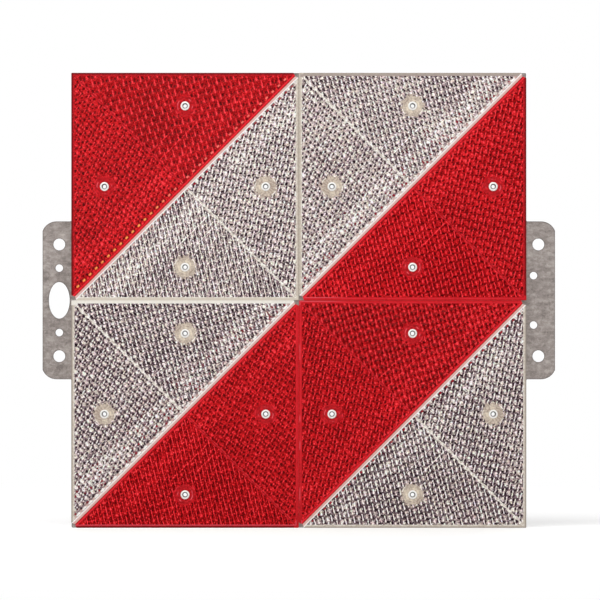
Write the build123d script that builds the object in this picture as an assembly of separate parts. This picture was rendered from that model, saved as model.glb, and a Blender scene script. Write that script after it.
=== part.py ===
from build123d import *
import math
import os

# A parking warning board: eight triangular prism reflectors, four red and four clear, riveted in
# diagonal stripes to a square steel plate that has a fastening tab at each side.
# The board stands upright. +X is to the right as seen from the front, +Z is up and the front
# faces -Y. The origin is at the middle of the board, on the back of the plate. Millimetres.

# Carrier plate
board_size = 423.0
plate_thickness = 1.5
plate_corner_radius = 1.0

# Fastening tabs, cut from the same sheet as the plate
tab_reach = 27.0
tab_height = 147.0
tab_corner_radius = 14.0
tab_corner_overrun = 1.0
tab_root_radius = 1.5
tab_root_overlap = 1.0

# Holes in the tabs. An offset runs from the board's edge out to the hole's middle.
bolt_hole_diameter = 11.0
bolt_hole_offset = 11.5
bolt_hole_spacing = 104.0
left_screw_hole_diameter = 7.0
left_screw_hole_offset = 11.5
left_screw_hole_spacing = 60.0
right_screw_hole_diameter = 7.0
right_screw_hole_offset = 7.0
right_screw_hole_spacing = 46.0
turn_button_hole_width = 19.5
turn_button_hole_height = 34.0
turn_button_hole_offset = 11.5

# Reflectors
seam_gap = 0.7
tip_cut = 4.2
reflector_corner_radius = 0.8
front_wall = 2.5
front_edge_chamfer = 0.6
rim_width = 2.6
prism_pitch = 8.0
prism_to_cover = 1.2
boss_diameter = 18.5
boss_recess_diameter = 13.5
boss_recess_depth = 0.5
cover_thickness = 2.0
cover_margin = 0.2
locating_rib_height = 1.0
locating_rib_width = 1.6
locating_rib_clearance = 0.25

# Hollow rivets, rolled over at both ends
rivet_from_leg = 30.8
rivet_tube_diameter = 5.0
rivet_bore_diameter = 3.5
rivet_hole_clearance = 0.15
rivet_head_diameter = 8.3
rivet_head_height = 1.1
rivet_tail_diameter = 7.6
rivet_tail_height = 0.9

# Sizes that follow from the ones above
quadrant = board_size / 2
tab_edge = quadrant + tab_reach
# A cube corner that fills a hexagon of this pitch is this deep.
prism_depth = prism_pitch * math.sqrt(2 / 3)
lens_height = front_wall + prism_depth + prism_to_cover
cover_level = plate_thickness
lens_level = cover_level + cover_thickness
front_level = lens_level + lens_height
rivet_seat_level = front_level - boss_recess_depth
rivet_from_corner = quadrant / 2
rivet_hole_diameter = rivet_tube_diameter + 2 * rivet_hole_clearance
rivet_places = [(rivet_from_corner, rivet_from_leg), (rivet_from_leg, rivet_from_corner)]

# Each quadrant of the board has an upper and a lower reflector, of unlike colours.
quadrants = {
    "upper_left": (-1, 1, "red", "clear"),
    "upper_right": (1, 1, "clear", "red"),
    "lower_left": (-1, -1, "clear", "red"),
    "lower_right": (1, -1, "red", "clear"),
}


def drill(shape, places, diameter):
    """The shape with a hole right through it, along Z, at each place."""
    box = shape.bounding_box()
    length = 2 * box.size.Z
    middle = (box.min.Z + box.max.Z) / 2
    for x, y in places:
        shape -= Pos(x, y, middle) * Cylinder(diameter / 2, length)
    return shape


def tab_outline(side):
    """A tab's outline, from inside the square to its outer edge. Its corner arcs overrun that edge."""
    root = quadrant - tab_root_overlap
    reach = tab_edge + tab_corner_overrun - root
    blank = Pos(side * (root + reach / 2), 0) * Rectangle(reach, tab_height)
    outer = blank.vertices().sort_by(Axis.X)
    corners = outer[-2:] if side > 0 else outer[:2]
    blank = fillet(corners, tab_corner_radius)
    return blank & Rectangle(2 * tab_edge, tab_height)


def tab_holes(side):
    """The holes that go through one tab, as outlines."""
    def at(from_edge, height=0.0):
        return Pos(side * (quadrant + from_edge), height)

    half_bolt = bolt_hole_spacing / 2
    holes = [at(bolt_hole_offset, z) * Circle(bolt_hole_diameter / 2) for z in (half_bolt, -half_bolt)]
    if side > 0:
        half = right_screw_hole_spacing / 2
        screw = Circle(right_screw_hole_diameter / 2)
        holes += [at(right_screw_hole_offset, z) * screw for z in (half, -half)]
    else:
        half = left_screw_hole_spacing / 2
        screw = Circle(left_screw_hole_diameter / 2)
        holes += [at(left_screw_hole_offset, z) * screw for z in (half, -half)]
        button = Ellipse(turn_button_hole_width / 2, turn_button_hole_height / 2)
        holes.append(at(turn_button_hole_offset) * button)
    return holes


def reflector_outline():
    """A reflector seen from the front: its right angle by the origin, its legs along +X and +Y."""
    near = seam_gap / 2
    far = quadrant - near * (1 + math.sqrt(2))
    slope_cut = tip_cut / math.sqrt(2)
    return Polygon(
        (near, near),
        (far - tip_cut, near),
        (far - slope_cut, near + slope_cut),
        (near + slope_cut, far - slope_cut),
        (near, far - tip_cut),
        align=None,
    )


def place_reflector(column, row, half):
    """Where a reflector's right angle goes, and how it is turned: the upper half's legs run right
    and down from the quadrant's upper left corner, the lower half's run left and up."""
    left = min(column, 0) * quadrant
    bottom = min(row, 0) * quadrant
    if half == "upper":
        return Pos(left, bottom + quadrant) * Rot(0, 0, -90)
    return Pos(left + quadrant, bottom) * Rot(0, 0, 90)


def lens():
    """A lens: a smooth front wall, a rim round it that meets the cover, and a boss for each rivet."""
    outline = reflector_outline()
    body = extrude(outline, lens_height)
    body = fillet(body.edges().filter_by(Axis.Z), reflector_corner_radius)
    body = chamfer(body.faces().sort_by(Axis.Z)[-1].edges(), front_edge_chamfer)
    inside = offset(outline, -rim_width, kind=Kind.INTERSECTION)
    body -= extrude(inside, lens_height - front_wall)
    for x, y in rivet_places:
        boss = Pos(x, y) * Circle(boss_diameter / 2)
        body += extrude(boss, lens_height)
        recess = Pos(x, y, lens_height) * Circle(boss_recess_diameter / 2)
        body -= extrude(recess, -boss_recess_depth)
    return drill(body, rivet_places, rivet_hole_diameter)


def back_cover():
    """A flat cover with a raised rib that locates it inside the lens's rim."""
    outline = reflector_outline()
    body = extrude(offset(outline, -cover_margin, kind=Kind.INTERSECTION), cover_thickness)
    rib_outside = rim_width + locating_rib_clearance
    rib = offset(outline, -rib_outside, kind=Kind.INTERSECTION)
    rib -= offset(outline, -(rib_outside + locating_rib_width), kind=Kind.INTERSECTION)
    body += Pos(0, 0, cover_thickness) * extrude(rib, locating_rib_height)
    return drill(body, rivet_places, rivet_hole_diameter)


def rolled_end(diameter, height, level, way):
    """One end of a rivet's section, from the tube's outside round the rolled flange to the bore."""
    tube = rivet_tube_diameter / 2
    bore = rivet_bore_diameter / 2
    edge = diameter / 2
    crest = edge - height
    roll = crest - bore
    top = level + way * height
    mid_arc = math.sqrt(0.5)
    return [
        Line((tube, level), (edge, level)),
        ThreePointArc(
            (edge, level),
            (crest + height * mid_arc, level + way * height * mid_arc),
            (crest, top),
        ),
        ThreePointArc(
            (crest, top),
            (crest - roll * mid_arc, top - way * roll * (1 - mid_arc)),
            (bore, top - way * roll),
        ),
    ]


def rivet():
    """A hollow rivet that clamps a lens and its cover to the plate."""
    head = rolled_end(rivet_head_diameter, rivet_head_height, rivet_seat_level, 1)
    tail = rolled_end(rivet_tail_diameter, rivet_tail_height, 0.0, -1)
    shank = Line(head[0] @ 0, tail[0] @ 0)
    bore = Line(head[-1] @ 1, tail[-1] @ 1)
    section = make_face([*head, bore, *tail, shank])
    return revolve(Plane.XZ * section, Axis.Z)


def carrier_plate():
    """The steel sheet: a square with a tab at each side, and all its holes."""
    square = Rectangle(board_size, board_size)
    square = fillet(square.vertices(), plate_corner_radius)
    outline = square + tab_outline(-1) + tab_outline(1)
    roots = [
        v for v in outline.vertices()
        if abs(abs(v.X) - quadrant) < 0.01 and abs(abs(v.Y) - tab_height / 2) < 0.01
    ]
    outline = fillet(roots, tab_root_radius)
    for side in (-1, 1):
        for hole in tab_holes(side):
            outline -= hole
    body = extrude(outline, plate_thickness)
    for column, row, _, _ in quadrants.values():
        for half in ("upper", "lower"):
            place = place_reflector(column, row, half)
            spots = [place * Pos(x, y) for x, y in rivet_places]
            body = drill(body, [(s.position.X, s.position.Y) for s in spots], rivet_hole_diameter)
    return body


def write(shape, node):
    """Stands the shape up, so that what was built along +Z faces -Y, and writes it."""
    export_step(Plane.XZ * shape, f"parts/{node}.step")


os.makedirs("parts", exist_ok=True)
write(carrier_plate(), "carrier_plate")
lens_shape = lens()
cover_shape = back_cover()
rivet_shape = rivet()
for name, (column, row, upper_colour, lower_colour) in quadrants.items():
    for half, colour in (("upper", upper_colour), ("lower", lower_colour)):
        place = place_reflector(column, row, half)
        write(place * Pos(0, 0, lens_level) * lens_shape, f"{colour}_lens_{name}")
        write(place * Pos(0, 0, cover_level) * cover_shape, f"{colour}_back_cover_{name}")
        pair = [place * Pos(x, y) * rivet_shape for x, y in rivet_places]
        write(Compound(children=pair), f"{colour}_rivets_{name}")
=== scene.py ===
import math
from collections import namedtuple
from functools import cached_property

import bmesh
import bpy
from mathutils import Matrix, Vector
from mathutils.geometry import delaunay_2d_cdt


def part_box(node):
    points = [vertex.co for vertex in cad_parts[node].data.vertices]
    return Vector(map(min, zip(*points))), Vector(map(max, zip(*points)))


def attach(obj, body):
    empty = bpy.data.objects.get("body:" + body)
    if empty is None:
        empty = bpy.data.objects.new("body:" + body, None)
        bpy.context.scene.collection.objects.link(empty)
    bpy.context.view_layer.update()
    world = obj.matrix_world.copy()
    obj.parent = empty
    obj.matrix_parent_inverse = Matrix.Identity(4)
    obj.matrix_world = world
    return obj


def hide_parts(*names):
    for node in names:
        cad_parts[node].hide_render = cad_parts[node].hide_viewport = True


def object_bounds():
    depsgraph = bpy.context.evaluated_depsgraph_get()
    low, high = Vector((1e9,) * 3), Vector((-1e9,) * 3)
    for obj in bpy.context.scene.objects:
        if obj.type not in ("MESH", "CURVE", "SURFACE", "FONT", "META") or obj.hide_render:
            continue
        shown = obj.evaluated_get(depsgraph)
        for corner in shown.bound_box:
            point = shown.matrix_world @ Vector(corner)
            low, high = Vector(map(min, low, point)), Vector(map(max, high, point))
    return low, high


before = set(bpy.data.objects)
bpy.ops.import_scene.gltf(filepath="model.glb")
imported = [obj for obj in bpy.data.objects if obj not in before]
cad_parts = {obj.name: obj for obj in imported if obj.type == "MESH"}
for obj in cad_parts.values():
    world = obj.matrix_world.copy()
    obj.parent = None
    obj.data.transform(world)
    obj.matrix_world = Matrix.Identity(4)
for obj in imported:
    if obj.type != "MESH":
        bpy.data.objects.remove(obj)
cad_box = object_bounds()
scene = bpy.context.scene

# A parking warning board seen from the front, along +Y. The lenses are rebuilt here with their
# prisms: an opaque tray whose floor is a field of cube corners, under a clear front window.
# A lens is drawn in its own plane, in millimetres: a runs along its horizontal leg and b along
# its vertical leg, both from the right angle. A level is a distance in front of the plate's back.

MM = 0.001

# Lens
quadrant = round(cad_box[1].z / MM, 3)
seam_half = 0.35
leg_length = quadrant - seam_half * (2 + math.sqrt(2))
rim_width = 2.6
rib_width = 1.4
tip_cut = 4.2
outline_radius = 0.8
outline_steps = 4
outline_growth = 0.32
edge_radius = 0.25
edge_steps = 3
rivet_from_seam = 30.8
rivet_from_leg = rivet_from_seam - seam_half
rivet_along_leg = quadrant / 2 - seam_half
boss_radius = 9.25
recess_radius = 6.75
recess_depth = 0.5
bore_radius = 2.65
circle_steps = 48
boss_flat_radius = boss_radius * math.cos(math.pi / circle_steps)
window_thickness = 1.2
window_clearance = 0.05
window_corner_clearance = 0.15
merge_distance = 1e-5
same_place_digits = 4

# Prisms. Seen through the acrylic they lie shallower than they are.
prism_pitch = 8.0
prism_relief = 2.0
prism_cover_depth = 1.7
hexagon_radius = prism_pitch / math.sqrt(3)
first_corner = math.radians(15)
first_peak = math.radians(75)
first_neighbour = math.radians(45)
second_neighbour = math.radians(105)
lattice_spare = 2.2

# Prism pattern
usual_lean = 75
mark_soft = 0.1
unevenness = 0.3
fringes = 0.4
fine_grain = 0.14
crumbs_across_prism = 4
dot_soft = 0.4

# Mould lines beside the middle rib, each a depth from the hypotenuse and a length
mould_lines = ((34.0, 70.0), (45.0, 45.0))
mould_line_tone = 0.35

# Soft borders of zones on the board, in millimetres: where each border starts and where it ends
seam_zone = (4.0, 5.0)
middle_zone = (-0.1, 0.1)
half_zone = (-3.0, 3.0)
painted_light_zone = (-5.0, 5.0)
dark_tint_zone = (6.0, 40.0)
glint_zone = (20.0, 50.0)
far_left_zone = (-150.0, -110.0)
low_seam_zone = (-200.0, -130.0)
top_zone = (quadrant - 4.5, quadrant - 3.5)
bottom_zone = (6.5 - quadrant, 7.5 - quadrant)
boss_border = (boss_radius + 0.05, boss_radius + 0.35)
ragged_border = (boss_radius + 0.35, boss_radius + 1.15)

# Nearly all of a noise lies between these.
noise_low = 0.3
noise_high = 0.7

# Picture and studio
picture_width = 558.7 * MM
picture_middle = (1.1 * MM, 0.3 * MM)
camera_distance = 7.0
sensor_width = 36.0
far_clip = 200
floor_half = 40.0
floor_lift = 0.25
floor_fade = (0.6, 1.6)
card_half = 3.0
card_behind_camera = 0.5
sheen_middle = (0.28, 0.28, 0)
sheen_fade = (0.1, 0.6)
ambient_strength = 0.45
white = (1, 1, 1, 1)


# Plane geometry


def direction(angle):
    return Vector((math.cos(angle), math.sin(angle)))


def outline_lines(leg):
    """The lens's five sides in order, each a normal that points inside and a distance from the origin."""
    tip = math.radians(22.5)
    diagonal = math.radians(45)
    reach = (leg - tip_cut) * math.cos(tip)
    return [
        (direction(math.radians(90)), 0.0),
        (-direction(-tip), -reach),
        (-direction(diagonal), -leg / math.sqrt(2)),
        (-direction(math.radians(90) + tip), -reach),
        (direction(0.0), 0.0),
    ]


def kept_side(points, normal, least):
    """The part of a convex shape whose distance along the normal is at least so much."""
    kept = []
    for p, q in zip(points, points[1:] + points[:1]):
        here, there = p.dot(normal) - least, q.dot(normal) - least
        if here >= 0:
            kept.append(p)
        if (here > 0 > there) or (here < 0 < there):
            kept.append(p.lerp(q, here / (here - there)))
    return kept


def corners_of(lines, inset):
    """The corners of a convex shape whose sides have moved inwards."""
    reach = 2 * max(abs(distance) for _, distance in lines)
    shape = [Vector((x * reach, y * reach)) for x, y in ((-1, -1), (1, -1), (1, 1), (-1, 1))]
    for normal, distance in lines:
        shape = kept_side(shape, normal, distance + inset)
    return shape


def rounded(points, radius, steps):
    """A convex shape's corners as arcs of so many points each."""
    loop = []
    for before, at, after in zip(points[-1:] + points[:-1], points, points[1:] + points[:1]):
        back, on = (before - at).normalized(), (after - at).normalized()
        half = back.angle(on) / 2
        middle = at + (back + on).normalized() * (radius / math.sin(half))
        start = (at + back * (radius / math.tan(half)) - middle).normalized()
        end = (at + on * (radius / math.tan(half)) - middle).normalized()
        for k in range(steps):
            loop.append(middle + start.slerp(end, k / (steps - 1)) * radius)
    return loop


def circle(middle, radius):
    turns = [2 * math.pi * k / circle_steps for k in range(circle_steps)]
    return [middle + direction(turn) * radius for turn in turns]


def inside(point, points):
    """Whether a point is inside a convex shape, either way round."""
    turns = [(q - p).cross(point - p) for p, q in zip(points, points[1:] + points[:1])]
    return all(t >= 0 for t in turns) or all(t <= 0 for t in turns)


def triangles(loops, lines=()):
    """The plane cut along closed loops and loose lines, as points and triples of point numbers."""
    points, edges = [], []
    for loop in loops:
        start, count = len(points), len(loop)
        edges += [(start + k, start + (k + 1) % count) for k in range(count)]
        points += loop
    for p, q in lines:
        edges.append((len(points), len(points) + 1))
        points += [p, q]
    found = delaunay_2d_cdt(points, edges, [], 0, merge_distance)
    return found[0], found[2]


def middle_of(points):
    return sum(points, Vector((0, 0))) / len(points)


def border_edges(faces):
    """The edges that only one of the faces has."""
    seen = {}
    for face in faces:
        for p, q in zip(face, face[1:] + face[:1]):
            key = (min(p, q), max(p, q))
            seen[key] = None if key in seen else (p, q)
    return [edge for edge in seen.values() if edge]


# Prism field


def prism_edges(at):
    """The edges that a prism adds to its field: three from its middle and three on its border."""
    corners = [at + direction(first_corner + k * math.radians(60)) * hexagon_radius for k in range(6)]
    spokes = [(at, corners[k]) for k in (0, 2, 4)]
    return spokes + [(corners[k], corners[k + 1]) for k in range(3)]


class Zone:
    """One of a lens's two prism fields. Their cube corners are each other's mirror image."""

    def __init__(self, region, boss, mirror):
        self.region, self.boss, self.mirror = region, boss, mirror
        self.first = direction(first_neighbour) * prism_pitch
        self.second = direction(second_neighbour) * prism_pitch

    def turned(self, point):
        return Vector((self.mirror * point.x, point.y))

    def place_in_prism(self, point):
        """A point's place in the hexagon that holds it, in hexagon radii from its middle."""
        at = self.turned(point)
        area = self.first.cross(self.second)
        i = math.floor(at.cross(self.second) / area)
        j = math.floor(self.first.cross(at) / area)
        middles = [(i + k) * self.first + (j + n) * self.second for k in (0, 1) for n in (0, 1)]
        nearest = min(middles, key=lambda middle: (at - middle).length)
        return (at - nearest) / hexagon_radius

    def height(self, point):
        """How far the prisms stand up from their deepest points there."""
        place = self.place_in_prism(point)
        rise = max(place.dot(direction(first_peak + k * math.radians(120))) for k in range(3))
        return max(rise, 0.0) * prism_relief

    def creases(self):
        """Every edge between two facets that may lie in the zone."""
        low_x, *_, high_x = sorted(p.x for p in self.region)
        low_y, *_, high_y = sorted(p.y for p in self.region)
        span = int(lattice_spare * max(p.length for p in self.region) / prism_pitch)
        lines = []
        for i in range(-span, span):
            for j in range(-span, span):
                at = i * self.first + j * self.second
                centre = self.turned(at)
                near_x = low_x - prism_pitch < centre.x < high_x + prism_pitch
                near_y = low_y - prism_pitch < centre.y < high_y + prism_pitch
                if near_x and near_y:
                    lines += [(self.turned(p), self.turned(q)) for p, q in prism_edges(at)]
        return lines

    def holds(self, point):
        return inside(point, self.region) and (point - self.boss).length > boss_flat_radius


# Lens mesh

LEVEL_FIELD, UPRIGHT_FIELD, RIM, WINDOW = range(4)


class LensMesh:
    """Gathers faces with their material and a map of their place, in millimetres along the two legs."""

    def __init__(self):
        self.bm = bmesh.new()
        self.place = self.bm.loops.layers.uv.new("place")
        self.known = {}

    def vertex(self, point, level):
        key = tuple(round(value, same_place_digits) for value in (point.x, point.y, level))
        if key not in self.known:
            self.known[key] = self.bm.verts.new((point.x, point.y, level))
        return self.known[key]

    def face(self, spots, material):
        verts = [self.vertex(p, level) for p, level in spots]
        if len(set(verts)) < len(verts):
            return
        made = self.bm.faces.new(verts)
        made.material_index = material
        for k, loop in enumerate(made.loops):
            loop[self.place].uv = spots[k][0]

    def band(self, lower, low_level, upper, high_level, material):
        for k, (p, q) in enumerate(zip(lower, lower[1:] + lower[:1])):
            r, s = upper[(k + 1) % len(upper)], upper[k]
            self.face([(p, low_level), (q, low_level), (r, high_level), (s, high_level)], material)


def prism_zones(sides, bosses):
    """The two fields, one on each side of the middle rib."""
    rim_inside = corners_of(sides, rim_width + outline_growth)
    across_rib = Vector((1, -1)).normalized()
    return [
        Zone(kept_side(rim_inside, across_rib, rib_width / 2), bosses[0], 1),
        Zone(kept_side(rim_inside, -across_rib, rib_width / 2), bosses[1], -1),
    ]


def outline(sides, inset):
    return rounded(corners_of(sides, inset), outline_radius, outline_steps)


def add_prisms(mesh, zones, front_level):
    """Adds the prism fields and the walls round them, and returns the walls' lines on the front."""
    floor_level = front_level - prism_cover_depth - prism_relief
    wall_lines = []
    for field, zone in zip((LEVEL_FIELD, UPRIGHT_FIELD), zones):
        points, found = triangles([zone.region, circle(zone.boss, boss_radius)], zone.creases())
        kept = [f for f in found if zone.holds(middle_of([points[k] for k in f]))]
        levels = {k: floor_level + zone.height(points[k]) for f in kept for k in f}
        for f in kept:
            mesh.face([(points[k], levels[k]) for k in f], field)
        for p, q in border_edges(kept):
            p_top, q_top = (points[p], front_level), (points[q], front_level)
            mesh.face([(points[p], levels[p]), (points[q], levels[q]), q_top, p_top], RIM)
            wall_lines.append((points[p], points[q]))
    return wall_lines


def add_front(mesh, sides, bosses, zones, wall_lines, front_level):
    """Adds the flat front of the rim, the middle rib and the bosses."""
    recesses = [circle(boss, recess_radius) for boss in bosses]
    points, found = triangles([outline(sides, edge_radius), *recesses], wall_lines)
    for f in found:
        spot = middle_of([points[k] for k in f])
        in_recess = any((spot - boss).length < recess_radius for boss in bosses)
        if not in_recess and not any(zone.holds(spot) for zone in zones):
            mesh.face([(points[k], front_level) for k in f], RIM)


def add_bores(mesh, bosses, front_level, back_level):
    """Adds each rivet's recess, its seat and its bore."""
    seat_level = front_level - recess_depth
    for boss in bosses:
        recess, bore = circle(boss, recess_radius), circle(boss, bore_radius)
        mesh.band(recess, front_level, recess, seat_level, RIM)
        mesh.band(recess, seat_level, bore, seat_level, RIM)
        mesh.band(bore, seat_level, bore, back_level, RIM)


def add_outer_wall(mesh, sides, front_level, back_level):
    """Adds the outer wall and its rounded front edge."""
    lower, lower_level = outline(sides, 0.0), back_level
    for k in range(edge_steps + 1):
        turn = math.radians(90) * k / edge_steps
        upper = outline(sides, edge_radius * (1 - math.cos(turn)))
        upper_level = front_level - edge_radius * (1 - math.sin(turn))
        mesh.band(lower, lower_level, upper, upper_level, RIM)
        lower, lower_level = upper, upper_level


def add_back(mesh, sides, bosses, back_level):
    """Adds the flat back, which the bores go through."""
    bores = [circle(boss, bore_radius) for boss in bosses]
    points, found = triangles([outline(sides, 0.0), *bores])
    for f in found:
        spot = middle_of([points[k] for k in f])
        if not any((spot - boss).length < bore_radius for boss in bosses):
            mesh.face([(points[k], back_level) for k in f], RIM)


def add_windows(mesh, zones, front_level):
    """Adds a closed clear plate over each prism field."""
    low_level = front_level - window_thickness
    for zone in zones:
        middle = middle_of(zone.region)
        region = [p + (middle - p).normalized() * window_corner_clearance for p in zone.region]
        points, found = triangles([region, circle(zone.boss, boss_radius + window_clearance)])
        kept = [f for f in found if (middle_of([points[k] for k in f]) - zone.boss).length > boss_radius]
        for level in (front_level, low_level):
            for f in kept:
                mesh.face([(points[k], level) for k in f], WINDOW)
        for p, q in border_edges(kept):
            lower = [(points[p], low_level), (points[q], low_level)]
            upper = [(points[q], front_level), (points[p], front_level)]
            mesh.face(lower + upper, WINDOW)


def lens_mesh(back_level, front_level):
    """The lens in its own plane, as a bmesh that is closed all round."""
    mesh = LensMesh()
    sides = [(normal, distance - outline_growth) for normal, distance in outline_lines(leg_length)]
    bosses = [Vector((rivet_along_leg, rivet_from_leg)), Vector((rivet_from_leg, rivet_along_leg))]
    zones = prism_zones(sides, bosses)
    wall_lines = add_prisms(mesh, zones, front_level)
    add_front(mesh, sides, bosses, zones, wall_lines, front_level)
    add_bores(mesh, bosses, front_level, back_level)
    add_outer_wall(mesh, sides, front_level, back_level)
    add_back(mesh, sides, bosses, back_level)
    add_windows(mesh, zones, front_level)
    bmesh.ops.recalc_face_normals(mesh.bm, faces=mesh.bm.faces)
    return mesh.bm


# Shader nodes


def srgb(red, green, blue):
    """A colour given as it looks on a screen, from 0 to 255, as the shader wants it."""
    def linear(x):
        x /= 255
        return x / 12.92 if x <= 0.04045 else ((x + 0.055) / 1.055) ** 2.4

    return (linear(red), linear(green), linear(blue), 1.0)


class Nodes:
    """The node tree of a material or a world, with short ways to add to it."""

    def __init__(self, owner, output):
        owner.use_nodes = True
        self.tree = owner.node_tree
        self.tree.nodes.clear()
        self.out = self.tree.nodes.new(output)

    def add(self, kind, inputs=None, **settings):
        node = self.tree.nodes.new(kind)
        for key, value in settings.items():
            setattr(node, key, value)
        for key, value in (inputs or {}).items():
            self.put(node.inputs[key], value)
        return node

    def put(self, socket, value):
        if isinstance(value, bpy.types.NodeSocket):
            self.tree.links.new(value, socket)
        else:
            socket.default_value = value

    def math(self, operation, *values):
        return self.add("ShaderNodeMath", dict(enumerate(values)), operation=operation).outputs[0]

    def times(self, first, *others):
        """The product of some numbers."""
        product = first
        for other in others:
            product = self.math("MULTIPLY", product, other)
        return product

    def vector(self, operation, *values, scale=None):
        node = self.add("ShaderNodeVectorMath", dict(enumerate(values)), operation=operation)
        if scale is not None:
            self.put(node.inputs["Scale"], scale)
        gives_number = operation in ("DOT_PRODUCT", "LENGTH", "DISTANCE")
        return node.outputs["Value" if gives_number else "Vector"]

    def join(self, x, y, z=0.0):
        return self.add("ShaderNodeCombineXYZ", {0: x, 1: y, 2: z}).outputs[0]

    def split(self, vector):
        return self.add("ShaderNodeSeparateXYZ", {"Vector": vector}).outputs

    def step(self, value, start, end, first=0.0, last=1.0):
        """A smooth step from the first number, at start, to the last, at end."""
        inputs = {"Value": value, "From Min": start, "From Max": end, "To Min": first, "To Max": last}
        return self.add("ShaderNodeMapRange", inputs, interpolation_type="SMOOTHSTEP").outputs["Result"]

    def fade(self, value, start, end, most=1.0):
        """A smooth step from so much, at start, to nothing, at end."""
        return self.step(value, start, end, most, 0.0)

    def band(self, value, middle, half, soft):
        """One where a value is near the middle, else nothing."""
        away = self.math("ABSOLUTE", self.math("SUBTRACT", value, middle))
        return self.fade(away, half, half + soft)

    def blend(self, first, second, share):
        """From the first number to the second."""
        node = self.add("ShaderNodeMix", {0: share, 2: first, 3: second}, data_type="FLOAT")
        return node.outputs[0]

    def tint(self, first, second, share):
        """From the first colour to the second."""
        node = self.add("ShaderNodeMix", {0: share, 6: first, 7: second}, data_type="RGBA")
        return node.outputs[2]

    def mix(self, first, second, share):
        """From the first surface to the second."""
        return self.add("ShaderNodeMixShader", {0: share, 1: first, 2: second}).outputs[0]

    def ramp(self, value, stops):
        node = self.add("ShaderNodeValToRGB", {"Fac": value})
        elements = node.color_ramp.elements
        while len(elements) < len(stops):
            elements.new(0.5)
        for element, (at, colour) in zip(elements, stops):
            element.position, element.color = at, colour
        return node.outputs["Color"]

    def noise(self, place, scale, detail=2.0, roughness=0.5):
        inputs = {"Vector": place, "Scale": scale, "Detail": detail, "Roughness": roughness}
        return self.add("ShaderNodeTexNoise", inputs).outputs["Fac"]

    def wander(self, place, scale, detail, size):
        """A soft random vector about zero."""
        inputs = {"Vector": place, "Scale": scale, "Detail": detail}
        colour = self.add("ShaderNodeTexNoise", inputs).outputs["Color"]
        return self.vector("SCALE", self.vector("SUBTRACT", colour, (0.5, 0.5, 0.5)), scale=size)

    def crystals(self, place, scale):
        """A random number for each of many small cells."""
        cells = self.add("ShaderNodeTexVoronoi", {"Vector": place, "Scale": scale})
        return self.split(cells.outputs["Color"])[0]

    def to_nearer(self, place, axes):
        """The distance from the nearer of two axes."""
        return self.math("MINIMUM", *(self.vector("DISTANCE", place, axis) for axis in axes))

    def object_place(self):
        return self.add("ShaderNodeTexCoord").outputs["Object"]

    def geometry(self, name):
        return self.add("ShaderNodeNewGeometry").outputs[name]

    def seen(self):
        """One for what the camera sees, also in a mirror or through glass, else nothing."""
        ray = self.add("ShaderNodeLightPath").outputs
        direct = self.math("MAXIMUM", ray["Is Camera Ray"], ray["Is Transmission Ray"])
        return self.math("MAXIMUM", direct, ray["Is Glossy Ray"])

    def end(self, surface):
        self.tree.links.new(surface, self.out.inputs["Surface"])


class Shader(Nodes):
    """A material."""

    def __init__(self, name):
        self.material = bpy.data.materials.new(name)
        super().__init__(self.material, "ShaderNodeOutputMaterial")

    def done(self, surface):
        self.end(surface)
        return self.material

    def principled(self, inputs):
        return self.done(self.add("ShaderNodeBsdfPrincipled", inputs).outputs[0])


Line = namedtuple("Line", "depth half_width soft colour")


class LensShader(Shader):
    """A lens's material. Its distances are in millimetres, and each is worked out once."""

    @cached_property
    def place(self):
        """The place along the two legs."""
        return self.add("ShaderNodeUVMap", uv_map="place").outputs["UV"]

    @cached_property
    def legs(self):
        return self.split(self.place)

    @cached_property
    def to_leg(self):
        """The distance from the nearer leg."""
        return self.math("MINIMUM", self.legs[0], self.legs[1])

    @cached_property
    def to_slope(self):
        """The distance from the hypotenuse."""
        along = self.math("ADD", self.legs[0], self.legs[1])
        return self.math("DIVIDE", self.math("SUBTRACT", leg_length, along), math.sqrt(2))

    @cached_property
    def from_rib(self):
        """The difference of the places along the legs, which is nothing on the middle rib."""
        return self.math("SUBTRACT", self.legs[0], self.legs[1])

    @cached_property
    def to_boss(self):
        """The distance from the nearer rivet's axis."""
        axes = ((rivet_along_leg, rivet_from_leg, 0), (rivet_from_leg, rivet_along_leg, 0))
        return self.to_nearer(self.place, axes)

    @cached_property
    def board_place(self):
        return self.vector("SCALE", self.object_place(), scale=1 / MM)

    @cached_property
    def board_axes(self):
        return self.split(self.board_place)

    @cached_property
    def across(self):
        """How far a place is to the right of the board's middle."""
        return self.board_axes[0]

    @cached_property
    def height(self):
        """How far a place is above the board's middle."""
        return self.board_axes[2]

    @cached_property
    def upper_left(self):
        """One on the board's upper left quarter, else nothing."""
        return self.times(self.fade(self.across, *half_zone), self.step(self.height, *half_zone))

    @cached_property
    def at_level_seam(self):
        return self.fade(self.math("ABSOLUTE", self.height), *seam_zone)

    @cached_property
    def at_upright_seam(self):
        return self.fade(self.math("ABSOLUTE", self.across), *seam_zone)

    @cached_property
    def at_seam(self):
        return self.math("MAXIMUM", self.at_level_seam, self.at_upright_seam)

    @cached_property
    def off_seams(self):
        return self.math("SUBTRACT", 1.0, self.at_seam)

    @cached_property
    def at_top(self):
        return self.step(self.height, *top_zone)

    @cached_property
    def lens_number(self):
        """A random number for each lens."""
        return self.add("ShaderNodeObjectInfo").outputs["Random"]

    def line(self, colour, line, distance, *shares):
        """The colour, with a line over it at its depth."""
        on_line = self.band(distance, line.depth, line.half_width, line.soft)
        return self.tint(colour, line.colour, self.times(on_line, *shares))


# The prisms' marks are painted light: the reflections, highlights and dark spots that cube corners show.
# Marks that every prism shows, in hexagon radii from its middle: a dot, or a stroke with a width
# at each end and a lean in degrees. A tone runs from 0, dark, to 1, bright, and is drawn by lot
# for each prism.

Mark = namedtuple("Mark", "middle half_length start_width end_width least_tone most_tone lean")


def dot(u, v, radius, least_tone, most_tone):
    return Mark((u, v), 0.0, radius, radius, least_tone, most_tone, 0.0)


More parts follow.
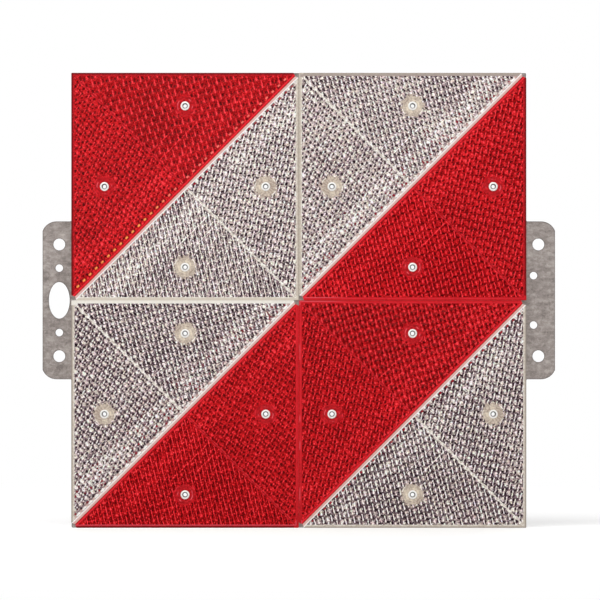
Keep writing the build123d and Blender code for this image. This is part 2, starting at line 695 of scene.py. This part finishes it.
def stroke(u, v, half_length, start_width, end_width, least_tone, most_tone, lean=usual_lean):
    return Mark((u, v), half_length, start_width, end_width, least_tone, most_tone, lean)


marks = {}
marks["flames"] = [
    dot(0.04, 0.65, 0.3, 0.62, 0.8),
    stroke(-0.42, 0.11, 0.24, 0.14, 0.13, 0.0, 0.12, lean=35),
    stroke(0.36, -0.4, 0.2, 0.14, 0.14, 0.0, 0.12, lean=40),
    stroke(-0.5, -0.69, 0.13, 0.12, 0.12, 0.0, 0.2, lean=80),
    stroke(0.77, -0.42, 0.14, 0.1, 0.1, 0.72, 0.95, lean=80),
    stroke(-0.21, -0.73, 0.34, 0.1, 0.11, 0.97, 1.0),
    dot(0.0, 0.0, 0.2, 0.85, 1.0),
]
marks["beads"] = [
    dot(-0.3, 0.2, 0.3, 0.55, 0.7),
    dot(0.15, -0.7, 0.25, 0.0, 0.2),
    stroke(0.46, 0.36, 0.12, 0.16, 0.16, 0.0, 0.15, lean=60),
    dot(-0.73, 0.0, 0.17, 0.0, 0.15),
    dot(-0.73, -0.78, 0.14, 0.05, 0.25),
    dot(-0.73, -0.42, 0.15, 0.7, 0.9),
    stroke(0.58, -0.5, 0.13, 0.11, 0.11, 0.65, 0.85, lean=80),
    stroke(-0.35, -0.8, 0.3, 0.09, 0.11, 0.8, 0.98, lean=65),
    stroke(0.0, 0.08, 0.18, 0.28, 0.24, 0.66, 0.84, lean=105),
]
marks["lines"] = [
    stroke(-0.03, -1.08, 0.24, 0.13, 0.13, 0.0, 0.2),
    stroke(-0.57, -0.25, 0.26, 0.13, 0.13, 0.0, 0.15, lean=80),
    stroke(0.51, -0.57, 0.16, 0.14, 0.13, 0.0, 0.2),
    stroke(0.73, 0.4, 0.24, 0.13, 0.12, 0.0, 0.2),
    stroke(-0.22, -1.12, 0.22, 0.09, 0.11, 0.75, 0.92, lean=72),
    dot(0.32, -0.8, 0.12, 0.65, 0.85),
    dot(-0.31, 0.13, 0.13, 0.65, 0.82),
    dot(0.0, -0.2, 0.22, 0.75, 0.92),
    stroke(0.35, 0.97, 1.0, 0.1, 0.09, 0.72, 1.0),
]
marks["knots"] = [
    dot(-0.12, -0.18, 0.36, 0.58, 0.74),
    stroke(0.11, -0.92, 0.1, 0.19, 0.19, 0.0, 0.2, lean=10),
    stroke(0.55, 0.06, 0.15, 0.15, 0.15, 0.0, 0.12),
    stroke(-0.72, -0.38, 0.17, 0.16, 0.16, 0.0, 0.12, lean=60),
    stroke(0.72, -0.45, 0.66, 0.09, 0.09, 0.82, 0.98, lean=77),
    dot(0.87, 0.12, 0.13, 0.88, 1.0),
    dot(0.11, -0.62, 0.12, 0.65, 0.9),
    dot(0.04, 0.03, 0.2, 0.85, 1.0),
]
marks["nets"] = [
    stroke(0.28, -0.85, 0.17, 0.19, 0.19, 0.0, 0.12, lean=10),
    stroke(-0.57, -0.05, 0.28, 0.13, 0.13, 0.0, 0.1, lean=82),
    stroke(0.66, 0.06, 0.22, 0.13, 0.13, 0.0, 0.15, lean=80),
    dot(-0.28, 0.25, 0.16, 0.5, 0.65),
    stroke(0.03, -0.1, 0.28, 0.17, 0.19, 0.72, 0.9, lean=80),
    stroke(0.9, -0.25, 0.55, 0.09, 0.09, 0.82, 0.97),
    stroke(0.78, -0.74, 0.12, 0.13, 0.13, 0.97, 1.0),
    dot(1.0, 0.19, 0.13, 0.88, 1.0),
]
marks["chains"] = [
    stroke(0.48, -0.1, 0.3, 0.13, 0.13, 0.1, 0.3, lean=80),
    stroke(0.27, -0.85, 0.12, 0.18, 0.18, 0.0, 0.12, lean=80),
    stroke(-0.54, -0.3, 0.1, 0.19, 0.19, 0.0, 0.12),
    dot(0.65, -0.77, 0.13, 0.65, 0.85),
    stroke(-0.3, -0.95, 0.45, 0.1, 0.13, 0.85, 1.0, lean=77),
    dot(-0.06, 0.02, 0.3, 0.75, 0.95),
]
marks["reeds"] = [
    stroke(0.56, -0.02, 0.15, 0.22, 0.22, 0.05, 0.3, lean=80),
    stroke(-0.38, 0.48, 0.12, 0.2, 0.2, 0.05, 0.3),
    dot(0.15, -1.15, 0.18, 0.1, 0.35),
    dot(0.9, 0.0, 0.12, 0.55, 0.75),
    stroke(0.05, -0.04, 0.68, 0.1, 0.13, 0.85, 1.0, lean=76),
]
crumb = dot(0.0, 0.0, 0.55, 0.0, 1.0)


def mark_on(s, spot, mark):
    """One on the nearest copy of a mark, else nothing, and that copy's tone."""
    first, second = (direction(way) * math.sqrt(3) for way in (first_neighbour, second_neighbour))
    area = first.cross(second)
    away = s.vector("SUBTRACT", spot, (*mark.middle, 0))
    rows = s.math("ROUND", s.vector("DOT_PRODUCT", away, (second.y / area, -second.x / area, 0)))
    ranks = s.math("ROUND", s.vector("DOT_PRODUCT", away, (-first.y / area, first.x / area, 0)))
    away = s.vector("SUBTRACT", away, s.vector("SCALE", (*first, 0), scale=rows))
    away = s.vector("SUBTRACT", away, s.vector("SCALE", (*second, 0), scale=ranks))
    lean = math.radians(mark.lean)
    along = s.vector("DOT_PRODUCT", away, (*direction(lean), 0))
    across = s.vector("DOT_PRODUCT", away, (*direction(lean + math.pi / 2), 0))
    over = s.math("MAXIMUM", s.math("SUBTRACT", s.math("ABSOLUTE", along), mark.half_length), 0.0)
    reach = s.vector("LENGTH", s.join(over, across))
    width = mark.start_width
    if mark.half_length:
        width = s.step(along, -mark.half_length, mark.half_length, mark.start_width, mark.end_width)
    covered = s.fade(s.math("SUBTRACT", reach, width), -mark_soft / 2, mark_soft / 2)
    copy_number = s.join(rows, ranks, mark.middle[0] * 100)
    inputs = {"Vector": copy_number, "W": s.lens_number}
    lot = s.add("ShaderNodeTexWhiteNoise", inputs, noise_dimensions="4D").outputs["Value"]
    return covered, s.blend(mark.least_tone, mark.most_tone, lot)


# Colours of the prism fields. A row of dots runs along the hypotenuse, in one colour on most of the
# board and others at the upper left, on a paler rail where the lens shows one.

# The bright dots are painted glints.
Row = namedtuple("Row", "depth half_length colour left_colour far_left_colour rail stains")
# A paint's lift is painted light from above: it is added to the tone in the board's upper half and taken from
# the lower half.
Paint = namedtuple("Paint", "tones ground lift crumbs stain boss arc row other_rows")
white_spot = srgb(252, 248, 245)
dark_red_spot = srgb(156, 10, 34)
red_spot = srgb(238, 52, 60)
pink_spot = srgb(255, 116, 106)
orange_spot = srgb(255, 168, 84)
rail_colour = srgb(214, 180, 172)
white_row = Row(3.9, 2.3, white_spot, white_spot, white_spot, rail=0.8, stains=0.8)
dark_row = Row(4.1, 1.3, dark_red_spot, dark_red_spot, rail_colour, rail=0.0, stains=0.1)
red_row = Row(4.4, 1.3, red_spot, pink_spot, orange_spot, rail=0.0, stains=0.8)
clear_tones = [
    (0.0, srgb(30, 13, 22)),
    (0.25, srgb(84, 63, 72)),
    (0.5, srgb(166, 148, 149)),
    (0.7, srgb(224, 209, 199)),
    (0.9, srgb(255, 252, 250)),
]
red_tones = [
    (0.0, srgb(84, 2, 4)),
    (0.3, srgb(144, 8, 13)),
    (0.55, srgb(190, 20, 26)),
    (0.8, srgb(224, 31, 38)),
    (1.0, srgb(254, 60, 70)),
]
paints = {
    "clear": Paint(
        tones=clear_tones,
        ground=(0.36, 0.5),
        lift=0.045,
        crumbs=0.26,
        stain=srgb(160, 30, 46),
        boss=srgb(196, 179, 164),
        arc=srgb(250, 243, 234),
        row=dark_row,
        other_rows={"flames": white_row, "beads": white_row},
    ),
    "red": Paint(
        tones=red_tones,
        ground=(0.34, 0.48),
        lift=0.02,
        crumbs=0.28,
        stain=srgb(96, 6, 10),
        boss=srgb(200, 22, 31),
        arc=srgb(232, 48, 60),
        row=red_row,
        other_rows={},
    ),
}


# Prism material


def prism_tone(s, mirror, look, paint):
    """How bright each place of a prism field is, from 0 to 1."""
    turned = s.vector("MULTIPLY", s.place, (mirror / hexagon_radius, 1 / hexagon_radius, 0))
    spot = s.vector("ADD", turned, s.wander(s.board_place, scale=0.4, detail=2.0, size=unevenness))
    patch = s.noise(s.board_place, scale=0.035, detail=3.0)
    tone = s.step(patch, noise_low, noise_high, *paint.ground)
    # Painted light from above: lighter in the board's upper half, darker in the lower half.
    tone = s.math("ADD", tone, s.step(s.height, *painted_light_zone, -paint.lift, paint.lift))
    for mark in marks[look]:
        covered, mark_tone = mark_on(s, spot, mark)
        tone = s.blend(tone, mark_tone, covered)
    crumbled, crumb_tone = mark_on(s, s.vector("SCALE", spot, scale=crumbs_across_prism), crumb)
    grain = s.step(crumb_tone, 0.0, 1.0, -paint.crumbs, paint.crumbs)
    tone = s.math("ADD", tone, s.times(crumbled, grain))
    fine = s.noise(s.board_place, scale=0.9)
    return s.math("ADD", tone, s.step(fine, noise_low, noise_high, -fine_grain, fine_grain))


def with_bright_band(s, tone):
    """Adds a blurred bright band along the hypotenuse where the lens has moulded marks, painted as the glare
    on them, and two faint mould lines.
    """
    patch = s.noise(s.board_place, scale=0.35, detail=3.0)
    patchy = s.step(patch, 0.45, 0.65, first=0.03, last=0.26)
    in_band = s.band(s.to_slope, middle=19.0, half=3.0, soft=7.0)
    tone = s.math("ADD", tone, s.times(in_band, patchy))
    for depth, length in mould_lines:
        beside_rib = s.band(s.from_rib, middle=length / 2, half=length / 2, soft=4.0)
        line = s.times(s.band(s.to_slope, depth, half=0.2, soft=0.5), beside_rib, mould_line_tone)
        tone = s.math("ADD", tone, line)
    return tone


def with_tinted_dark_marks(s, colour, tone, lot, stains, stain):
    """Tints some of the dark marks, more of them towards the hypotenuse."""
    rare = s.times(s.fade(s.to_slope, *dark_tint_zone, most=stains), s.step(lot, 0.55, 0.6))
    dark = s.fade(tone, 0.15, 0.42)
    return s.tint(colour, stain, s.times(rare, dark))


def with_row(s, colour, lot, row):
    """Adds the row of dots along the hypotenuse, the bright ones painted glints."""
    if row.rail:
        rail = s.times(s.band(s.to_slope, row.depth, half=0.8, soft=0.4), row.rail)
        colour = s.tint(colour, rail_colour, rail)
    dot_colour = row.colour
    if row.left_colour != row.colour:
        dot_colour = s.tint(dot_colour, row.left_colour, s.upper_left)
    if row.far_left_colour != row.left_colour:
        far_left = s.times(s.upper_left, s.fade(s.across, *far_left_zone))
        dot_colour = s.tint(dot_colour, row.far_left_colour, far_left)
    beat = s.math("PINGPONG", s.math("DIVIDE", s.from_rib, math.sqrt(2)), prism_pitch / 2)
    dots = s.fade(beat, row.half_length - dot_soft, row.half_length + dot_soft)
    in_row = s.band(s.to_slope, row.depth, half=0.6, soft=0.5)
    return s.tint(colour, dot_colour, s.times(dots, in_row, s.step(lot, 0.3, 0.6, first=0.75)))


def with_beads(s, colour, bead_colour):
    """Adds bright beads along the middle rib."""
    bead = s.fade(s.math("PINGPONG", s.to_slope, prism_pitch / 2), 1.0, 1.9)
    beside_rib = s.fade(s.math("ABSOLUTE", s.from_rib), 1.6, 2.8, most=0.75)
    return s.tint(colour, bead_colour, s.times(bead, beside_rib))


def with_boss_borders(s, colour, paint):
    """Lets the bosses' colour run ragged into the prisms, with painted highlights as bright arcs on parts of
    the border.
    """
    ragged = s.step(s.noise(s.board_place, scale=0.55), 0.25, 0.75, first=3.0, last=-3.0)
    near_boss = s.fade(s.math("ADD", s.to_boss, ragged), *ragged_border)
    colour = s.tint(colour, paint.boss, near_boss)
    # Painted highlights on parts of the border.
    arc = Line(depth=9.9, half_width=0.35, soft=0.4, colour=paint.arc)
    in_parts = s.step(s.noise(s.place, scale=0.1, detail=1.0), 0.53, 0.6)
    return s.line(colour, arc, s.to_boss, in_parts, 0.8)


def prism_material(name, mirror, look, paint):
    """Cube corners as they look through the window, with their reflections and highlights painted."""
    s = LensShader(name)
    tone = with_bright_band(s, prism_tone(s, mirror, look, paint))
    # Painted colour fringes, as dispersed light gives them.
    fringe = s.wander(s.board_place, scale=0.5, detail=1.0, size=fringes)
    fringe = s.vector("ADD", fringe, (1.0, 1.0, 1.0))
    colour = s.vector("MULTIPLY", s.ramp(tone, paint.tones), fringe)
    row = paint.other_rows.get(look, paint.row)
    lot = s.noise(s.board_place, scale=0.2, detail=1.0)
    colour = with_tinted_dark_marks(s, colour, tone, lot, row.stains, paint.stain)
    colour = with_row(s, colour, lot, row)
    colour = with_beads(s, colour, paint.arc)
    colour = with_boss_borders(s, colour, paint)
    return s.principled({"Base Color": colour, "Roughness": 0.4, "Specular IOR Level": 0.04})


# Rim materials


def with_clear_edges(s, colour):
    """Darkens the outer edges of a clear rim with painted shade, and sets off the seams, with painted light
    on the level seam.
    """
    # Painted shade along the outer edges.
    edge_shade = s.times(s.fade(s.to_leg, 0.1, 1.3, most=0.85), s.off_seams)
    colour = s.tint(colour, srgb(150, 140, 131), edge_shade)
    top_edge = s.times(s.at_top, s.step(s.to_leg, 0.6, 1.2, last=0.9))
    colour = s.tint(colour, srgb(166, 150, 143), top_edge)
    # Painted light on the level seam, palest just below it.
    level_seam_light = s.tint(srgb(252, 248, 240), srgb(222, 210, 194), s.step(s.height, *middle_zone))
    colour = s.tint(colour, level_seam_light, s.times(s.at_level_seam, 0.7))
    gap = s.times(s.at_upright_seam, s.fade(s.to_leg, -0.1, 0.4, most=0.5))
    return s.tint(colour, srgb(146, 132, 118), gap)


def with_clear_lines(s, colour):
    """Adds painted highlights along the borders of a clear rim, a pink one by the hypotenuse, and its bright
    middle rib.
    """
    leg_highlight = Line(depth=2.2, half_width=0.3, soft=0.4, colour=srgb(244, 240, 234))
    outer_slope_highlight = Line(depth=0.9, half_width=0.5, soft=0.6, colour=srgb(230, 180, 174))
    inner_slope_highlight = Line(depth=2.2, half_width=0.3, soft=0.4, colour=srgb(250, 247, 244))
    broken = s.step(s.noise(s.place, scale=0.35), 0.4, 0.6)
    below_top = s.math("SUBTRACT", 1.0, s.at_top)
    colour = s.line(colour, leg_highlight, s.to_leg, broken, 0.8, below_top)
    colour = s.line(colour, outer_slope_highlight, s.to_slope)
    colour = s.line(colour, inner_slope_highlight, s.to_slope)
    off_rim = s.step(s.math("MINIMUM", s.to_leg, s.to_slope), 3.0, 4.0)
    rib = s.times(off_rim, s.step(s.to_boss, *boss_border), broken)
    return s.tint(colour, srgb(255, 252, 246), rib)


def with_clear_bosses(s, colour):
    """Adds the bosses, where the cover behind shows mottled, with a glint in each recess."""
    cloud = s.noise(s.place, scale=0.14)
    speckle = s.blend(cloud, s.noise(s.place, scale=0.6), 0.6)
    stops = [(0.38, srgb(168, 149, 137)), (0.5, srgb(199, 183, 167)), (0.62, srgb(226, 212, 193))]
    colour = s.tint(colour, s.ramp(speckle, stops), s.fade(s.to_boss, *boss_border))
    glint = Line(depth=5.8, half_width=0.25, soft=0.7, colour=srgb(250, 238, 216))
    return s.line(colour, glint, s.to_boss, s.step(cloud, 0.5, 0.6), 0.5)


def clear_rim_material():
    """Clear acrylic without prisms, with the beige cover behind it: rim, rib and bosses."""
    s = LensShader("clear_rim")
    mottle = s.noise(s.place, scale=0.5, detail=4.0)
    colour = s.ramp(mottle, [(noise_low, srgb(188, 175, 160)), (noise_high, srgb(220, 209, 196))])
    colour = with_clear_edges(s, colour)
    colour = with_clear_lines(s, colour)
    colour = with_clear_bosses(s, colour)
    return s.principled({"Base Color": colour, "Roughness": 0.25})


def with_red_seams(s, colour):
    """Paints light at the seams: a clearer red where light comes through the acrylic, which fades in
    stretches, a pink highlight beside them and thin glints along parts of them.
    """
    stretch = s.noise(s.place, scale=0.035)
    fading = s.step(s.height, *low_seam_zone, first=0.35)
    even = s.times(s.step(stretch, 0.38, 0.6, first=0.5, last=0.9), fading)
    # Painted light coming through the acrylic at the seams.
    colour = s.tint(colour, srgb(204, 22, 30), s.times(s.at_seam, even))
    leg_highlight = Line(depth=1.4, half_width=0.25, soft=0.45, colour=srgb(226, 44, 57))
    colour = s.line(colour, leg_highlight, s.to_leg, s.at_seam, even, 0.75)
    beside_middle = s.times(s.at_level_seam, s.fade(s.across, *glint_zone))
    right_side = s.times(s.at_upright_seam, s.step(s.across, *middle_zone), s.step(stretch, 0.53, 0.6))
    glint_depth = s.step(s.height, *middle_zone, first=0.6, last=2.3)
    glint = Line(depth=glint_depth, half_width=0.2, soft=0.3, colour=srgb(242, 112, 126))
    return s.line(colour, glint, s.to_leg, s.math("MAXIMUM", beside_middle, right_side), 0.5)


def with_red_edges(s, colour):
    """Darkens the outer edges of a red rim with painted shade, with a painted highlight along the board's
    bottom.
    """
    # Painted shade along the outer edges.
    edge_shade = s.times(s.fade(s.to_leg, 0.7, 1.9, most=0.92), s.off_seams)
    colour = s.tint(colour, srgb(112, 7, 13), edge_shade)
    bottom_highlight = Line(depth=2.3, half_width=0.3, soft=0.3, colour=srgb(222, 80, 95))
    colour = s.line(colour, bottom_highlight, s.to_leg, s.fade(s.height, *bottom_zone, most=0.85))
    gap = s.times(s.at_level_seam, s.fade(s.to_leg, -0.1, 0.3, most=0.3))
    return s.tint(colour, srgb(140, 8, 14), gap)


def red_rim_material():
    """Red acrylic without prisms: rim, rib and bosses."""
    s = LensShader("red_rim")
    mottle = s.noise(s.place, scale=0.45, detail=4.0)
    stops = [(noise_low, srgb(140, 9, 15)), (0.5, srgb(182, 20, 28)), (noise_high, srgb(216, 32, 41))]
    colour = with_red_seams(s, s.ramp(mottle, stops))
    # Painted highlights along the hypotenuse and on parts of each recess's edge.
    slope_highlight = Line(depth=1.3, half_width=0.3, soft=0.5, colour=srgb(240, 42, 54))
    colour = s.line(colour, slope_highlight, s.to_slope, 0.85)
    recess_highlight = Line(depth=6.9, half_width=0.2, soft=0.5, colour=srgb(240, 92, 104))
    in_parts = s.step(s.noise(s.place, scale=0.12, detail=1.0), 0.5, 0.6)
    colour = s.line(colour, recess_highlight, s.to_boss, in_parts, 0.8)
    colour = with_red_edges(s, colour)
    return s.principled({"Base Color": colour, "Roughness": 0.45, "Specular IOR Level": 0.12})


# Other materials


def window_material(name):
    """Clear acrylic that shows what is behind it and mirrors a little."""
    s = Shader(name)
    clear = s.add("ShaderNodeBsdfTransparent").outputs[0]
    mirror = s.add("ShaderNodeBsdfGlossy", {"Roughness": 0.04}).outputs[0]
    fresnel = s.add("ShaderNodeFresnel", {"IOR": 1.3}).outputs[0]
    outer_side = s.math("SUBTRACT", 1.0, s.geometry("Backfacing"))
    return s.done(s.mix(clear, mirror, s.times(fresnel, outer_side)))


def steel_material():
    """Dull galvanised sheet: faint crystals, wear that runs across the tabs, and darker cut edges."""
    s = Shader("galvanised_steel")
    place = s.object_place()
    spangle = s.blend(s.crystals(place, scale=420.0), s.crystals(place, scale=75.0), 0.45)
    grain = s.noise(place, scale=900.0, detail=3.0, roughness=0.7)
    level_place = s.vector("MULTIPLY", place, (0.35, 1.0, 1.0))
    wear = s.noise(level_place, scale=260.0, detail=4.0, roughness=0.65)
    mixed = s.blend(s.blend(spangle, grain, 0.6), wear, 0.5)
    stops = [(0.32, srgb(118, 109, 104)), (0.5, srgb(157, 147, 142)), (0.68, srgb(192, 183, 177))]
    cut_edge = {"Distance": 1.4 * MM}
    edge = s.add("ShaderNodeAmbientOcclusion", cut_edge, inside=True, only_local=True, samples=16)
    off_edge = s.step(edge.outputs["AO"], 0.4, 0.95)
    colour = s.tint(srgb(70, 61, 56), s.ramp(mixed, stops), off_edge)
    roughness = s.step(grain, noise_low, noise_high, first=0.45, last=0.6)
    return s.principled({"Base Color": colour, "Roughness": roughness, "Metallic": 0.25})


def rivet_material():
    """Zinc, bright on the rolled ends, with painted shade towards the bore that is darkest where
    the bore's wall faces down. The four rivets of a quadrant lie at equal distances from its middle,
    so the distance from an axis is found by folding."""
    s = Shader("rivet_steel")
    place = s.object_place()
    x, _, z = s.split(place)
    folded = []
    for value in (x, z):
        from_middle = s.math("SUBTRACT", s.math("ABSOLUTE", value), quadrant / 2 * MM)
        folded.append(s.math("DIVIDE", s.math("ABSOLUTE", from_middle), MM))
    spot = s.join(*folded)
    reach = quadrant / 2 - rivet_from_seam
    to_axis = s.to_nearer(spot, ((reach, 0, 0), (0, reach, 0)))
    cloud = s.noise(place, scale=900.0, detail=3.0)
    bright = s.ramp(cloud, [(noise_low, srgb(242, 239, 235)), (noise_high, srgb(253, 251, 248))])
    # Painted shade in the bore, darkest where its wall faces down.
    facing_up = s.split(s.geometry("Normal"))[2]
    bore_shade = s.tint(srgb(12, 10, 9), srgb(120, 112, 106), s.step(facing_up, -0.5, 0.7))
    colour = s.tint(bore_shade, bright, s.step(to_axis, 2.35, 2.8))
    return s.principled({"Base Color": colour, "Roughness": 0.4, "Metallic": 0.1})


def cover_material():
    """Beige moulded plastic with a fine grain."""
    s = Shader("cover_plastic")
    grain = s.noise(s.object_place(), scale=900.0, detail=4.0)
    colour = s.ramp(grain, [(noise_low, srgb(186, 172, 156)), (noise_high, srgb(208, 195, 180))])
    return s.principled({"Base Color": colour, "Roughness": 0.55})


# Pieces

# Each lens's half of its quadrant, and the look of its level and of its upright prism field
# A look is a painted pattern of light, and the two halves have their own, as light falls on their prisms from
# opposite sides.
looks = {
    "red_lens_upper_left": ("upper", "reeds", "beads"),
    "clear_lens_upper_left": ("lower", "lines", "knots"),
    "clear_lens_upper_right": ("upper", "flames", "beads"),
    "red_lens_upper_right": ("lower", "nets", "knots"),
    "clear_lens_lower_left": ("upper", "flames", "beads"),
    "red_lens_lower_left": ("lower", "lines", "beads"),
    "red_lens_lower_right": ("upper", "chains", "knots"),
    "clear_lens_lower_right": ("lower", "nets", "knots"),
}
rims = {"clear": clear_rim_material(), "red": red_rim_material()}
windows = {colour: window_material(f"{colour}_window") for colour in paints}
prisms = {}
for node, (_, *field_looks) in looks.items():
    colour = node.split("_")[0]
    for look, field, mirror in zip(field_looks, ("level", "upright"), (1, -1)):
        if (colour, look, field) not in prisms:
            name = f"{colour}_{look}_{field}"
            prisms[colour, look, field] = prism_material(name, mirror, look, paints[colour])


def use(obj, material):
    obj.data.materials.clear()
    obj.data.materials.append(material)


def lens_piece(node, lens_bm):
    """A lens with its prisms, at its node's place on the board."""
    low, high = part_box(node)
    colour = node.split("_")[0]
    half, level_look, upright_look = looks[node]
    # An upper reflector's right angle is at its upper left, a lower one's at its lower right.
    corner, way = Vector((low.x, 0, high.z)), 1
    if half == "lower":
        corner, way = Vector((high.x, 0, low.z)), -1
    bm = lens_bm.copy()
    for vert in bm.verts:
        a, b, level = vert.co * MM
        vert.co = corner + Vector((way * a, -level, -way * b))
    bmesh.ops.recalc_face_normals(bm, faces=bm.faces)
    data = bpy.data.meshes.new(f"{node}_prisms")
    bm.to_mesh(data)
    bm.free()
    piece = bpy.data.objects.new(f"{node}_prisms", data)
    scene.collection.objects.link(piece)
    fields = (prisms[colour, level_look, "level"], prisms[colour, upright_look, "upright"])
    for material in (*fields, rims[colour], windows[colour]):
        data.materials.append(material)
    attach(piece, "root")
    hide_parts(node)
    # Acrylic lets the light through.
    piece.visible_shadow = False
    piece.visible_diffuse = False


lens_nodes = sorted(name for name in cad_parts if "_lens_" in name)
lens_low, lens_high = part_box(lens_nodes[0])
lens_bm = lens_mesh(-lens_high.y / MM, -lens_low.y / MM)
for node in lens_nodes:
    lens_piece(node, lens_bm)

finishes = {"_rivets_": rivet_material(), "_back_cover_": cover_material(), "carrier_plate": steel_material()}
for name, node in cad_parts.items():
    for part, material in finishes.items():
        if part in name:
            use(node, material)


# Stage


def floor_material():
    """Pale paint that keeps the object's shadow, fades to white far away and is open from below."""
    s = Shader("floor")
    paint = s.add("ShaderNodeBsdfDiffuse", {"Color": srgb(238, 238, 238)}).outputs[0]
    lift = s.add("ShaderNodeEmission", {"Color": white, "Strength": floor_lift}).outputs[0]
    lit = s.add("ShaderNodeAddShader", {0: paint, 1: lift}).outputs[0]
    plain_white = s.add("ShaderNodeEmission", {"Color": white, "Strength": 1.0}).outputs[0]
    far = s.step(s.vector("LENGTH", s.object_place()), *floor_fade)
    shown = s.mix(lit, plain_white, far)
    from_above = s.mix(paint, shown, s.seen())
    from_below = s.add("ShaderNodeBsdfTransparent").outputs[0]
    return s.done(s.mix(from_above, from_below, s.geometry("Backfacing")))


def card_material():
    """A dark studio, a little lighter at the upper left as the windows mirror it."""
    s = Shader("dark_card")
    from_sheen = s.vector("DISTANCE", s.object_place(), sheen_middle)
    sheen = s.step(from_sheen, *sheen_fade, first=0.22, last=0.02)
    return s.done(s.add("ShaderNodeEmission", {"Strength": sheen}).outputs[0])


def studio_world():
    """Lights the object evenly, and is white where it is seen."""
    world = bpy.data.worlds.new("studio")
    s = Nodes(world, "ShaderNodeOutputWorld")
    ambient = s.add("ShaderNodeBackground", {"Color": white, "Strength": ambient_strength}).outputs[0]
    backdrop = s.add("ShaderNodeBackground", {"Color": white, "Strength": 1.0}).outputs[0]
    s.end(s.mix(ambient, backdrop, s.seen()))
    return world


def plane(name, half, place, normal):
    data = bpy.data.meshes.new(name)
    corners = [(-half, -half, 0), (half, -half, 0), (half, half, 0), (-half, half, 0)]
    data.from_pydata(corners, [], [(0, 1, 2, 3)])
    obj = bpy.data.objects.new(name, data)
    obj.location = place
    obj.rotation_mode = "QUATERNION"
    obj.rotation_quaternion = Vector(normal).to_track_quat("Z", "Y")
    scene.collection.objects.link(obj)
    return obj


def area_lamp(name, place, size, power):
    """A lamp that points at the object's middle."""
    data = bpy.data.lights.new(name, "AREA")
    data.shape = "RECTANGLE"
    data.size, data.size_y = size
    data.energy = power
    lamp = bpy.data.objects.new(name, data)
    lamp.location = place
    lamp.rotation_mode = "QUATERNION"
    lamp.rotation_quaternion = (-Vector(place)).to_track_quat("-Z", "Y")
    lamp.visible_camera = False
    scene.collection.objects.link(lamp)


def front_camera():
    data = bpy.data.cameras.new("camera")
    data.sensor_width = sensor_width
    data.lens = sensor_width * camera_distance / picture_width
    data.clip_end = far_clip
    camera = bpy.data.objects.new("camera", data)
    camera.location = (picture_middle[0], -camera_distance, picture_middle[1])
    camera.rotation_euler = (math.pi / 2, 0, 0)
    scene.collection.objects.link(camera)
    return camera


floor = plane("floor", floor_half, (0, 0, cad_box[0].z), (0, 0, 1))
use(floor, floor_material())
# Mirroring rays pass the floor and meet the world, which is white to them.
floor.visible_glossy = False

card = plane("dark_card", card_half, (0, -camera_distance - card_behind_camera, 0), (0, 1, 0))
use(card, card_material())
card.visible_camera = False
card.visible_diffuse = False
card.visible_shadow = False

area_lamp("key", place=(-0.45, -1.25, 1.45), size=(1.6, 1.0), power=23)
area_lamp("fill", place=(1.6, -2.2, 0.2), size=(1.2, 1.6), power=6)
area_lamp("back_fill", place=(0.3, 2.4, 1.6), size=(2.0, 1.4), power=30)

scene.world = studio_world()
scene.camera = front_camera()
scene.view_settings.view_transform = "Standard"
